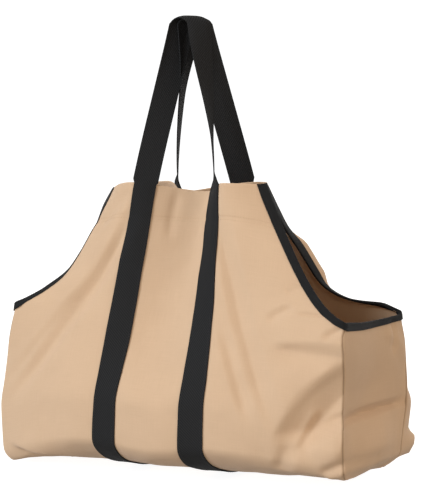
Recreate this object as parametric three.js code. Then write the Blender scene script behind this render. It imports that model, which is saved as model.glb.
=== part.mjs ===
import * as THREE from 'three';

// Firewood bag of canvas, held up by its two webbing handles. Millimetres, +Z up, front toward -Y.
// The origin is the underside of the handles' crown, where a hook or a bar carries the bag.

// Cloth, webbing and tape
const CANVAS = 1.2;
const HEM_DEPTH = 58;
const HEM_LAYER = 1.2;
const WEBBING_WIDTH = 40;
const WEBBING = 1.8;
const TAPE_WIDTH = 12;
const TAPE = 0.8;
const GAP = 0.3;
const TAPE_GAP = 0.4;
const TAPE_ROOM = 0.9;

// Main canvas: flat half widths at the base and at the hem, and lengths along the cloth from the base's middle
const BASE_HALF = 300;
const HEM_HALF = 165;
const GUSSET_PATH = 408;
const HEM_PATH = 598;
const STRAP_X = 74;
const CREST_X = 104;
const HEM_REACH = { left: 134, right: 136, backRight: 118 };
const FLARE = { flat: 0.3, frontLeft: 0.4, frontRight: 0.15, backLeft: 0.3, backRight: 0.6 };
const FLARE_POWER = 6;
const FRONT_CURL = 1.6;
const BACK_CURL = 3.2;
const BACK_ROUND = 1.4;
const BACK_TUCK = 12;
const BACK_TUCK_BAND = { full: 150, leave: 240, end: 390 };
const BACK_LIFT = 14;
const BACK_LIFT_START = 330;

// Handles: crown over a level bar that runs to the right and the back
const CROWN = new THREE.Vector3(-9, 0, 697);
const BAR_ANGLE = THREE.MathUtils.degToRad(47);
const FRONT_CROWN = { radius: 16.4, firstShift: -14, lastShift: 3 };
const BACK_CROWN = { radius: 14, firstShift: -8, lastShift: -26 };
const CROWN_WRAP = THREE.MathUtils.degToRad(70);
const LEG_PULL = { hem: 0.6, crown: 0.7 };
const LEG_STEPS = 14;
const CROWN_STEPS = 8;

// Colours of the photographed bag
const CANVAS_COLOUR = 0xdcbd9c;
const WEBBING_COLOUR = 0x2a2b2d;
const TAPE_COLOUR = 0x1f2022;

function readTable(columns, rows) {
  return rows.map((row) => Object.fromEntries(columns.map((name, index) => [name, row[index]])));
}

// Sections across the cloth, from the base's middle up to the hem. Heights z stand over the base's lowest point.
const SECTIONS = readTable(
  ['path', 'squeeze', 'xLeft', 'xRight', 'xBack', 'yMiddle', 'yCrest', 'ySide', 'zMiddle', 'zCrest', 'zLeft',
    'zRight', 'valley', 'swell'],
  [
    [-79, 1.00, 270, 297, 308, -78, -78, -60, 8, 10, 10, 24, 0, 0],
    [0, 1.00, 270, 297, 308, 0, 0, 0, 0, 0, 10, 24, 0, 0],
    [79, 1.00, 270, 297, 308, 78, 78, 60, 8, 10, 10, 24, 0, 0],
    [150, 1.00, 273, 297, 309, 146, 142, 97, 30, 38, 9, 24, 0, 0],
    [182, 1.00, 286, 297, 317, 166, 160, 106, 54, 62, 26, 40, 0, 2],
    [240, 0.99, 293, 297, 322, 168, 161, 108, 112, 116, 86, 98, 0, 8],
    [296, 0.98, 287, 297, 322, 150, 147, 109, 166, 168, 144, 150, 0, 14],
    [349, 0.96, 279, 297, 316, 124, 128, 108, 215, 217, 200, 198, 4, 20],
    [408, 0.93, 270, 295, 309, 98, 108, 102, 268, 270, 256, 244, 12, 24],
    [462, 0.89, 270, 295, 309, 78, 94, 80, 318, 321, 304, 296, 20, 26],
    [529, 0.83, 270, 295, 309, 49, 78, 52, 379, 385, 370, 366, 28, 18],
    [598, 0.78, 270, 295, 309, 17, 62, 24, 437, 451, 440, 449, 36, 4],
  ],
);

// Folds and swells pressed into the main canvas: ends in cloth lengths, sideways bow, width and depth (outward +)
const FOLDS = readTable(
  ['face', 'fromX', 'fromPath', 'toX', 'toPath', 'bow', 'width', 'depth'],
  [
    [-1, 112, 530, 190, 250, 10, 20, -6],
    [-1, 100, 380, 150, 230, 8, 18, -5],
    [-1, 292, 300, 190, 200, 30, 24, -9],
    [-1, 285, 250, 230, 190, 16, 18, 7],
    [-1, 292, 360, 190, 372, 8, 20, -6],
    [-1, -130, 530, -250, 290, 12, 30, -7],
    [-1, -120, 560, -170, 470, 0, 16, -5],
    [-1, -275, 190, -200, 165, 10, 18, -6],
    [1, 260, 165, 256, 210, 0, 23, 21],
    [1, 140, 565, 218, 425, 0, 28, 20],
    [1, -110, 520, -200, 260, -12, 24, -7],
    [1, 60, 420, 150, 240, 10, 26, -6],
    [1, -280, 350, -180, 330, 8, 24, -7],
  ],
);

// Dents and swells of the two gussets, outward +; across and up run from 0 to 1
const GUSSET_FOLDS = readTable(
  ['side', 'fromAcross', 'fromUp', 'toAcross', 'toUp', 'width', 'depth'],
  [
    [1, 0.5, 0.55, 0.55, 0.95, 0.3, -14],
    [1, 0.05, 0.3, 0.95, 0.48, 0.09, -6],
    [1, 0.5, 0.15, 0.6, 0.3, 0.25, 8],
    [-1, 0.5, 0.1, 0.5, 0.35, 0.3, 16],
    [-1, 0.3, 0.6, 0.6, 0.95, 0.25, -9],
    [-1, 0.1, 0.55, 0.9, 0.4, 0.09, -5],
  ],
);

// Room for the tape at the top corners of a gusset: inward on its two top rows, and down on the topmost
const CORNER_TUCK = [2.4, 0.8];
const CORNER_DROP = 6;

// Lengths along the cloth at which the mesh has its rows, and flat widths at which it has its columns
const PATHS = [0, 45, 90, 128, 150, 166, 184, 212, 240, 268, 296, 322, 349, 378, 396, GUSSET_PATH, 416, 428, 444,
  464, 488, 513, HEM_PATH - HEM_DEPTH - 1, HEM_PATH - HEM_DEPTH + 1, 569, HEM_PATH];
const CORNER_ROW = 4;
const TAPE_ROW = PATHS.indexOf(GUSSET_PATH);
const STRAP_STOPS = [-0.5, -1 / 6, 1 / 6, 0.5].map((share) => STRAP_X + share * WEBBING_WIDTH);
const INNER_STOPS = [27, ...STRAP_STOPS, 115];
const OUTER_STEPS = 6;

const lerp = THREE.MathUtils.lerp;

function smooth(value) {
  return THREE.MathUtils.smoothstep(value, 0, 1);
}

// Smooth curve through one column of the section table
function sectionValue(name, path) {
  const last = SECTIONS.length - 1;
  const slope = (index) => {
    const rise = SECTIONS[index + 1][name] - SECTIONS[index][name];
    return rise / (SECTIONS[index + 1].path - SECTIONS[index].path);
  };
  const tangent = (index) => {
    if (index === 0) return slope(0);
    if (index === last) return slope(last - 1);
    const before = slope(index - 1);
    const after = slope(index);
    if (before * after <= 0) return 0;
    const limit = 3 * Math.min(Math.abs(before), Math.abs(after));
    return Math.sign(before) * Math.min(Math.abs(before + after) / 2, limit);
  };
  let row = SECTIONS.findIndex((section) => section.path > path) - 1;
  if (row < 0) row = last - 1;
  const length = SECTIONS[row + 1].path - SECTIONS[row].path;
  const u = (path - SECTIONS[row].path) / length;
  const start = (2 * u ** 3 - 3 * u ** 2 + 1) * SECTIONS[row][name];
  const end = (3 * u ** 2 - 2 * u ** 3) * SECTIONS[row + 1][name];
  const leave = (u ** 3 - 2 * u ** 2 + u) * length * tangent(row);
  const arrive = (u ** 3 - u ** 2) * length * tangent(row + 1);
  return start + end + leave + arrive;
}

// Share of the way from the gusset's top to the hem, and the sweep of the free side edge over it
function climb(path) {
  return THREE.MathUtils.clamp((path - GUSSET_PATH) / (HEM_PATH - GUSSET_PATH), 0, 1);
}

function sweep(share, flare) {
  return (1 - flare) * share + flare * (1 - (1 - share) ** FLARE_POWER);
}

function flatHalf(path) {
  return lerp(BASE_HALF, HEM_HALF, sweep(climb(path), FLARE.flat));
}

// Width along a row that gives the tape its full width across the slanting edge
function tapeRun(path) {
  const share = climb(path);
  const steep = (1 - FLARE.flat) + FLARE.flat * FLARE_POWER * (1 - share) ** (FLARE_POWER - 1);
  const slant = steep * (BASE_HALF - HEM_HALF) / (HEM_PATH - GUSSET_PATH);
  return TAPE_WIDTH * Math.hypot(1, slant);
}

function sideReach(path, face, side) {
  const share = climb(path);
  if (side < 0) {
    const flare = face < 0 ? FLARE.frontLeft : FLARE.backLeft;
    return lerp(sectionValue('xLeft', path), HEM_REACH.left, sweep(share, flare));
  }
  if (face < 0) return lerp(sectionValue('xRight', path), HEM_REACH.right, sweep(share, FLARE.frontRight));
  return lerp(sectionValue('xBack', path), HEM_REACH.backRight, sweep(share, FLARE.backRight));
}

// Point of the main canvas before its folds; face -1 is the front, +1 the back
function panelPoint(x, path, face) {
  const value = (name) => sectionValue(name, path);
  const side = x < 0 ? -1 : 1;
  const across = Math.abs(x);
  const crestReach = CREST_X * value('squeeze');
  const run = THREE.MathUtils.clamp((across - CREST_X) / (flatHalf(path) - CREST_X), 0, 1);
  let y;
  let z;
  let reach;
  if (across <= CREST_X) {
    const valley = -face * value('valley');
    const crest = x >= valley ? CREST_X : -CREST_X;
    const rise = smooth((x - valley) / (crest - valley));
    y = lerp(value('yMiddle'), value('yCrest'), rise);
    z = lerp(value('zMiddle'), value('zCrest'), rise);
    reach = across * value('squeeze');
  } else {
    const fall = run ** (face < 0 ? FRONT_CURL : BACK_CURL);
    const spread = face < 0 ? run : 1 - (1 - run) ** BACK_ROUND;
    y = lerp(value('yCrest'), value('ySide'), fall);
    z = lerp(value('zCrest'), value(side < 0 ? 'zLeft' : 'zRight'), run ** FRONT_CURL);
    reach = lerp(crestReach, sideReach(path, face, side), spread);
  }
  if (face > 0) {
    const { full, leave, end } = BACK_TUCK_BAND;
    const tucked = smooth(path / full) * (1 - smooth((path - leave) / (end - leave)));
    const rising = smooth((path - BACK_LIFT_START) / (GUSSET_PATH - BACK_LIFT_START));
    y += value('swell') * (1 - run ** 3) - BACK_TUCK * tucked * run ** BACK_CURL;
    if (side > 0) z += BACK_LIFT * rising * (1 - climb(path)) ** 8 * run ** FRONT_CURL;
  }
  return new THREE.Vector3(side * reach, face * y, z);
}

// Outward normal of a cloth surface from two short steps along it
function surfaceNormal(point, x, path, face) {
  const step = 3;
  const half = flatHalf(path) - 0.01;
  const left = point(Math.max(x - step, -half), path, face);
  const right = point(Math.min(x + step, half), path, face);
  const low = path < step ? point(x, step, -face) : point(x, path - step, face);
  const high = point(x, Math.min(path + step, HEM_PATH), face);
  const normal = right.sub(left).cross(high.sub(low)).normalize();
  return normal.multiplyScalar(-face);
}

// Height of a soft ridge or valley over a line between two points
function ridge(px, py, fold) {
  const dx = fold.toX - fold.fromX;
  const dy = fold.toPath - fold.fromPath;
  const length = Math.hypot(dx, dy);
  const along = ((px - fold.fromX) * dx + (py - fold.fromPath) * dy) / (length * length);
  const bend = fold.bow * 4 * along * (1 - along);
  const aside = ((px - fold.fromX) * dy - (py - fold.fromPath) * dx) / length - bend;
  const taper = smooth((along + 0.2) / 0.4) * smooth((1.2 - along) / 0.4);
  return fold.depth * taper * Math.exp(-((aside / fold.width) ** 2));
}

function clothPoint(x, path, face) {
  const base = panelPoint(x, path, face);
  let height = 0;
  for (const fold of FOLDS) {
    if (fold.face === face) height += ridge(x, path, fold);
  }
  height *= smooth(path / 120);
  return base.addScaledVector(surfaceNormal(panelPoint, x, path, face), height);
}

function clothVertex(x, path, face) {
  return { point: clothPoint(x, path, face), normal: surfaceNormal(clothPoint, x, path, face) };
}

function offset(vertex, distance) {
  return vertex.point.clone().addScaledVector(vertex.normal, distance);
}

// Mesh from vertices and faces, turned so that its faces look outward
function closedMesh(name, points, triangles, colour, roughness) {
  const corner = new THREE.Vector3();
  let volume = 0;
  for (const [a, b, c] of triangles) volume += points[a].dot(corner.crossVectors(points[b], points[c]));
  const faces = volume < 0 ? triangles.map(([a, b, c]) => [a, c, b]) : triangles;
  const geometry = new THREE.BufferGeometry().setFromPoints(points);
  geometry.setIndex(faces.flat());
  geometry.computeVertexNormals();
  const material = new THREE.MeshStandardMaterial({ color: colour, roughness, metalness: 0, flatShading: true });
  const mesh = new THREE.Mesh(geometry, material);
  mesh.name = name;
  return mesh;
}

// Closed wall between an outer and an inner grid of points; crossed picks the other diagonal of each cell
function wallMesh(name, outer, inner, colour, roughness, crossed = false) {
  const rows = outer.length;
  const columns = outer[0].length;
  const points = [...outer.flat(), ...inner.flat()];
  const outside = (row, column) => row * columns + column;
  const inside = (row, column) => rows * columns + row * columns + column;
  const triangles = [];
  const quad = (a, b, c, d) => {
    if (crossed) triangles.push([b, c, d], [b, d, a]);
    else triangles.push([a, b, c], [a, c, d]);
  };
  for (let row = 0; row < rows - 1; row += 1) {
    for (let column = 0; column < columns - 1; column += 1) {
      quad(outside(row, column), outside(row, column + 1), outside(row + 1, column + 1), outside(row + 1, column));
      quad(inside(row, column), inside(row + 1, column), inside(row + 1, column + 1), inside(row, column + 1));
    }
    const end = columns - 1;
    quad(outside(row, 0), outside(row + 1, 0), inside(row + 1, 0), inside(row, 0));
    quad(outside(row, end), inside(row, end), inside(row + 1, end), outside(row + 1, end));
  }
  for (let column = 0; column < columns - 1; column += 1) {
    const end = rows - 1;
    quad(outside(0, column), inside(0, column), inside(0, column + 1), outside(0, column + 1));
    quad(outside(end, column), outside(end, column + 1), inside(end, column + 1), inside(end, column));
  }
  return closedMesh(name, points, triangles, colour, roughness);
}

// Flat widths of the mesh columns across one row, from left to right
function columnStops(path) {
  const edge = flatHalf(path);
  const free = edge - tapeRun(path);
  const first = INNER_STOPS[INNER_STOPS.length - 1];
  const right = [...INNER_STOPS];
  for (let step = 1; step <= OUTER_STEPS; step += 1) right.push(lerp(first, free, step / OUTER_STEPS));
  right.push(edge);
  return [...right.map((x) => -x).reverse(), 0, ...right];
}

// Rows of the main canvas from the front hem under the base to the back hem
const clothRows = [
  ...[...PATHS].reverse().map((path) => ({ path, face: -1 })),
  ...PATHS.slice(1).map((path) => ({ path, face: 1 })),
].map(({ path, face }) => ({ path, face, cells: columnStops(path).map((x) => clothVertex(x, path, face)) }));

function hemWall(path) {
  return path > HEM_PATH - HEM_DEPTH ? CANVAS / 2 + HEM_LAYER : CANVAS / 2;
}

function mainCanvas() {
  const outer = clothRows.map((row) => row.cells.map((cell) => offset(cell, CANVAS / 2)));
  const inner = clothRows.map((row) => row.cells.map((cell) => offset(cell, -hemWall(row.path))));
  return wallMesh('main_canvas', outer, inner, CANVAS_COLOUR, 0.9);
}

function clothRow(path, face) {
  return clothRows.find((row) => row.path === path && (row.face === face || path === 0));
}

function sideCell(path, face, side, inward) {
  const cells = clothRow(path, face).cells;
  return side < 0 ? cells[inward] : cells[cells.length - 1 - inward];
}

// Gusset between the side edges of the front, the base and the back
function gussetGrid(side) {
  const inside = (path, face, tuck) => {
    const cell = sideCell(path, face, side, 0);
    const inset = CANVAS / 2 + GAP + (CANVAS / 2) * Math.abs(cell.normal.x);
    const inward = new THREE.Vector3(0, -cell.normal.y, -cell.normal.z).normalize();
    return offset(cell, -inset).addScaledVector(inward, tuck);
  };
  const basePaths = PATHS.slice(0, CORNER_ROW + 1);
  const foot = [
    ...[...basePaths].reverse().map((path) => inside(path, -1, GAP)),
    ...basePaths.slice(1).map((path) => inside(path, 1, GAP)),
  ];
  const span = foot[foot.length - 1].y - foot[0].y;
  const shares = foot.map((point) => (point.y - foot[0].y) / span);
  const paths = PATHS.slice(CORNER_ROW + 1, TAPE_ROW + 1);
  const rows = paths.map((path, index) => {
    const fromTop = paths.length - 1 - index;
    const tuck = CORNER_TUCK[fromTop] ?? 0;
    const front = inside(path, -1, tuck);
    const back = inside(path, 1, tuck);
    return shares.map((share, column) => {
      const point = front.clone().lerp(back, share);
      point.z = lerp(front.z, back.z, share ** 3);
      if (fromTop === 0 && (column === 0 || column === shares.length - 1)) point.z -= CORNER_DROP;
      return point;
    });
  });
  const grid = [foot, ...rows];
  return grid.map((row, index) => row.map((point, column) => {
    const up = index / (grid.length - 1);
    const across = shares[column];
    let swell = 0;
    for (const fold of GUSSET_FOLDS.filter((entry) => entry.side === side)) {
      const dx = fold.toAcross - fold.fromAcross;
      const dy = fold.toUp - fold.fromUp;
      const along = ((across - fold.fromAcross) * dx + (up - fold.fromUp) * dy) / (dx * dx + dy * dy);
      const near = THREE.MathUtils.clamp(along, 0, 1);
      const distance = Math.hypot(across - fold.fromAcross - near * dx, up - fold.fromUp - near * dy);
      swell += fold.depth * Math.exp(-((distance / fold.width) ** 2));
    }
    swell *= Math.sqrt(Math.max(0, 4 * across * (1 - across))) * smooth(up / 0.2);
    return new THREE.Vector3(point.x + side * (swell - CANVAS / 2), point.y, point.z);
  }));
}

function gridNormals(grid, outward) {
  const lastRow = grid.length - 1;
  const lastColumn = grid[0].length - 1;
  return grid.map((row, r) => row.map((point, c) => {
    const along = grid[r][Math.min(c + 1, lastColumn)].clone().sub(grid[r][Math.max(c - 1, 0)]);
    const up = grid[Math.min(r + 1, lastRow)][c].clone().sub(grid[Math.max(r - 1, 0)][c]);
    const normal = along.cross(up).normalize();
    return { point, normal: normal.multiplyScalar(Math.sign(normal.dot(outward)) || 1) };
  }));
}

const gussets = new Map([-1, 1].map((side) => {
  return [side, gridNormals(gussetGrid(side), new THREE.Vector3(side, 0, 0))];
}));

function gussetPanel(name, side) {
  const cells = gussets.get(side);
  const outer = cells.map((row) => row.map((cell) => offset(cell, CANVAS / 2)));
  const inner = cells.map((row) => row.map((cell) => offset(cell, -CANVAS / 2)));
  return wallMesh(name, outer, inner, CANVAS_COLOUR, 0.9, side < 0);
}

// Folded tape around an edge: one leg outside, one leg inside, closed over the edge
function tapeSection(edge, root, outerWall, innerWall) {
  const over = edge.point.clone().sub(root.point);
  over.addScaledVector(edge.normal, -over.dot(edge.normal)).normalize();
  const outside = outerWall + TAPE_GAP;
  const inside = -innerWall - TAPE_GAP;
  const lip = (distance, out) => offset(edge, distance).addScaledVector(over, out);
  return [
    offset(root, outside + TAPE),
    lip(outside + TAPE, TAPE_ROOM + TAPE),
    lip(inside - TAPE, TAPE_ROOM + TAPE),
    offset(root, inside - TAPE),
    offset(root, inside),
    lip(inside, TAPE_ROOM),
    lip(outside, TAPE_ROOM),
    offset(root, outside),
  ];
}

function edgeTape(name, side) {
  const wall = CANVAS / 2;
  const panelSections = (face) => PATHS.slice(TAPE_ROW).map((path) => {
    return tapeSection(sideCell(path, face, side, 0), sideCell(path, face, side, 1), wall, hemWall(path));
  });
  const corner = (face) => {
    const edge = sideCell(GUSSET_PATH, face, side, 0);
    const normal = edge.normal.clone().add(new THREE.Vector3(side, 0, 0)).normalize();
    const root = sideCell(PATHS[TAPE_ROW - 1], face, side, 0).point;
    return tapeSection({ point: edge.point, normal }, { point: root, normal }, 2 * wall, 4 * wall);
  };
  const cells = gussets.get(side);
  const top = cells[cells.length - 1];
  const below = cells[cells.length - 2];
  const gussetSections = [];
  for (let column = 1; column < top.length - 1; column += 1) {
    gussetSections.push(tapeSection(top[column], below[column], wall, wall));
  }
  const sections = [
    ...panelSections(-1).reverse(), corner(-1), ...gussetSections, corner(1), ...panelSections(1),
  ];
  const size = sections[0].length;
  const points = sections.flat();
  const triangles = [];
  const quad = (a, b, c, d) => triangles.push([a, b, c], [a, c, d]);
  for (let index = 0; index < sections.length - 1; index += 1) {
    for (let first = 0; first < size; first += 1) {
      const second = (first + 1) % size;
      const here = index * size;
      const next = here + size;
      const fromRoot = first === 0 || first === 4;
      if (fromRoot === side > 0) quad(here + first, here + second, next + second, next + first);
      else quad(here + second, next + second, next + first, here + first);
    }
  }
  const end = (sections.length - 1) * size;
  for (const [a, b, c, d] of [[0, 1, 6, 7], [1, 2, 5, 6], [2, 3, 4, 5]]) {
    quad(d, c, b, a);
    quad(end + a, end + b, end + c, end + d);
  }
  return closedMesh(name, points, triangles, TAPE_COLOUR, 0.85);
}

// Strap rows that lie on the panel, from the base's middle up to the hem; columns run along the ribbon's width
function strapRows(face, stops) {
  const rest = CANVAS / 2 + GAP;
  return PATHS.map((path) => {
    const cells = stops.map((x) => clothVertex(x, Math.max(path, 0.4), face));
    return {
      outer: cells.map((cell) => offset(cell, rest + WEBBING)),
      inner: cells.map((cell) => offset(cell, rest)),
    };
  });
}

function middle(row) {
  const sum = new THREE.Vector3();
  for (const point of [...row.outer, ...row.inner]) sum.add(point);
  return sum.divideScalar(row.outer.length + row.inner.length);
}

// Flat ribbon section about a centre, with its width toward `wide` and its panel side toward the normal
function ribbonRow(centre, tangent, wide) {
  const across = wide.clone().addScaledVector(tangent, -wide.dot(tangent)).normalize();
  const normal = tangent.clone().cross(across);
  const place = (share, lift) => {
    return centre.clone().addScaledVector(across, share * WEBBING_WIDTH).addScaledVector(normal, lift);
  };
  const shares = [-0.5, -1 / 6, 1 / 6, 0.5];
  return {
    outer: shares.map((share) => place(share, -WEBBING / 2)),
    inner: shares.map((share) => place(share, WEBBING / 2)),
  };
}

function turned(angle) {
  return new THREE.Vector3(Math.cos(angle), Math.sin(angle), 0);
}

// Free leg from the hem to the crown, straight under load and twisting evenly
function legRows(hemRow, lowerRow, crownPoint, crownTangent, crownWide) {
  const start = middle(hemRow);
  const chord = crownPoint.clone().sub(start);
  const rise = chord.length();
  const leave = start.clone().sub(middle(lowerRow)).normalize().lerp(chord.clone().normalize(), LEG_PULL.hem);
  const arrive = crownTangent.clone().lerp(chord.clone().normalize(), LEG_PULL.crown);
  const wide = hemRow.outer[3].clone().sub(hemRow.outer[0]);
  const fromAngle = Math.atan2(wide.y, wide.x);
  const toAngle = Math.atan2(crownWide.y, crownWide.x);
  const twist = Math.atan2(Math.sin(toAngle - fromAngle), Math.cos(toAngle - fromAngle));
  const rows = [];
  for (let step = 1; step <= LEG_STEPS; step += 1) {
    const v = step / (LEG_STEPS + 1);
    const place = (u) => start.clone().multiplyScalar(2 * u ** 3 - 3 * u ** 2 + 1)
      .addScaledVector(leave, rise * (u ** 3 - 2 * u ** 2 + u))
      .addScaledVector(crownPoint, 3 * u ** 2 - 2 * u ** 3)
      .addScaledVector(arrive, rise * (u ** 3 - u ** 2));
    const tangent = place(v + 0.01).sub(place(v - 0.01)).normalize();
    rows.push({ centre: place(v), tangent, wide: turned(fromAngle + twist * v) });
  }
  return rows;
}

function handle(name, face, crown) {
  const way = -face;
  const firstStops = [...STRAP_STOPS].reverse().map((x) => -way * x);
  const lastStops = [...STRAP_STOPS].reverse().map((x) => way * x);
  const first = strapRows(face, firstStops);
  const last = strapRows(face, lastStops);
  const bar = turned(BAR_ANGLE).multiplyScalar(way);
  const over = turned(BAR_ANGLE - Math.PI / 2).multiplyScalar(way);
  const up = new THREE.Vector3(0, 0, 1);
  const crownAt = (angle) => {
    const share = (angle + CROWN_WRAP) / (2 * CROWN_WRAP);
    const centre = CROWN.clone()
      .addScaledVector(bar, lerp(crown.firstShift, crown.lastShift, share))
      .addScaledVector(over, crown.radius * Math.sin(angle))
      .addScaledVector(up, crown.radius * Math.cos(angle));
    const tangent = over.clone().multiplyScalar(Math.cos(angle)).addScaledVector(up, -Math.sin(angle));
    return { centre, tangent, wide: bar };
  };
  const arch = [];
  for (let step = 0; step <= CROWN_STEPS; step += 1) {
    arch.push(crownAt((2 * step / CROWN_STEPS - 1) * CROWN_WRAP));
  }
  const archEnd = arch[arch.length - 1];
  const leftLeg = legRows(first.at(-1), first.at(-2), arch[0].centre, arch[0].tangent, bar);
  const rightLeg = legRows(last.at(-1), last.at(-2), archEnd.centre, archEnd.tangent.clone().negate(), bar);
  const free = [
    ...leftLeg,
    ...arch,
    ...rightLeg.reverse().map((row) => ({ ...row, tangent: row.tangent.negate() })),
  ].map((row) => ribbonRow(row.centre, row.tangent, row.wide));
  const rows = [...first, ...free, ...last.reverse()];
  const outer = rows.map((row) => row.outer);
  const inner = rows.map((row) => row.inner);
  return wallMesh(name, outer, inner, WEBBING_COLOUR, 0.75, true);
}

const bag = new THREE.Group();
bag.name = 'firewood_bag';
bag.add(
  mainCanvas(),
  gussetPanel('gusset_left', -1),
  gussetPanel('gusset_right', 1),
  edgeTape('edge_tape_left', -1),
  edgeTape('edge_tape_right', 1),
  handle('handle_front', -1, FRONT_CROWN),
  handle('handle_back', 1, BACK_CROWN),
);
const hang = CROWN.clone();
hang.z += BACK_CROWN.radius - WEBBING / 2;
for (const piece of bag.children) piece.position.copy(hang).negate();

export default bag;
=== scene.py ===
import bpy
import numpy as np
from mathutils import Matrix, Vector


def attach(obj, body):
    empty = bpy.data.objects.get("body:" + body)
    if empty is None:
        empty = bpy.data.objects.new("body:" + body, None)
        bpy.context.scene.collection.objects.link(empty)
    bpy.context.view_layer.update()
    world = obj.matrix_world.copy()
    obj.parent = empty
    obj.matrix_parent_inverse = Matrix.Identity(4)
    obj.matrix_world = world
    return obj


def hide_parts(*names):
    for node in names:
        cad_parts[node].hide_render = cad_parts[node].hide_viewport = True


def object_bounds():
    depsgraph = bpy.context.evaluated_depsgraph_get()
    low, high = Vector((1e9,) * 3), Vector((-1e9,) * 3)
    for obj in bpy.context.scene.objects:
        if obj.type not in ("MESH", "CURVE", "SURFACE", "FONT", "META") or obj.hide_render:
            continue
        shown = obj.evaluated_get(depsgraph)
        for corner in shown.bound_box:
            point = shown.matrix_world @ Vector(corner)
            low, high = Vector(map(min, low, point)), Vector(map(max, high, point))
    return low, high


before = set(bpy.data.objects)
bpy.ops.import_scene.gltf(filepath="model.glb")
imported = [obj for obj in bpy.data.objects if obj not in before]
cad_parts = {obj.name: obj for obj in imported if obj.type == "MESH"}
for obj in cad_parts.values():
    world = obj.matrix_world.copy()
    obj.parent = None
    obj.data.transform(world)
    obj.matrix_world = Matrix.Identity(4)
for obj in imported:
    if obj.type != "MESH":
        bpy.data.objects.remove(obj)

cad_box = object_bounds()

# Main canvas: one length of plain-woven beige cotton that makes the front, the base and the back.
# Its sides are cut away over the end panels, and each end is turned in and sewn down as a hem.
# All lengths are millimetres in the bag's own frame, over the base's lowest point.
CANVAS = 1.2  # thickness
HEM_DEPTH = 58
HEM_PATH = 598  # from the base's middle along the cut to the hem's top
HEM_LINE = 545  # and to the middle of the hem's stitching
GUSSET_PATH = 408  # and to the top of the end panels
HALF_LENGTH = 300  # half the cut's width up to the top of the end panels
HALF_HEM = 165  # and at the hem
EDGE_FLARE = 0.3  # share of the cut-away that is taken just over the end panels
EDGE_BEND = 6  # how early that share is used up
CREST = 104  # where a face turns towards its side edge
STRAP_X = 74  # from the bag's middle to a strap's
HANG = np.array([-9, 0, 710.1])  # the carrying point, which is the origin of the scene
SECTION_COLUMNS = (
    "path", "squeeze", "left", "right", "back", "y_middle", "y_crest", "y_side",
    "z_middle", "z_crest", "z_left", "z_right", "valley", "swell",
)
SECTIONS = np.array([
    [0, 1.00, 275, 297, 308, 0, 0, 0, 4, 4, 5, 17, 0, 0],
    [79, 1.00, 275, 297, 308, 78, 78, 60, 12, 14, 3, 17, 0, 0],
    [150, 1.00, 279, 297, 310, 146, 142, 97, 32, 40, 0, 19, 0, 0],
    [182, 1.00, 292, 297, 326, 166, 160, 106, 54, 62, 19, 40, 0, 2],
    [240, 0.99, 295, 297, 325, 168, 161, 108, 112, 116, 86, 98, 0, 8],
    [296, 0.98, 287, 297, 322, 150, 147, 109, 166, 168, 144, 150, 0, 12],
    [349, 0.96, 279, 297, 316, 124, 128, 108, 215, 217, 200, 198, 4, 14],
    [408, 0.93, 270, 295, 309, 98, 108, 102, 268, 270, 256, 244, 12, 14],
    [462, 0.89, 270, 295, 309, 78, 94, 80, 318, 321, 304, 296, 20, 18],
    [529, 0.83, 270, 295, 309, 49, 78, 52, 379, 385, 370, 366, 28, 16],
    [598, 0.78, 270, 295, 309, 17, 62, 24, 437, 451, 440, 449, 36, 4],
])
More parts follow.
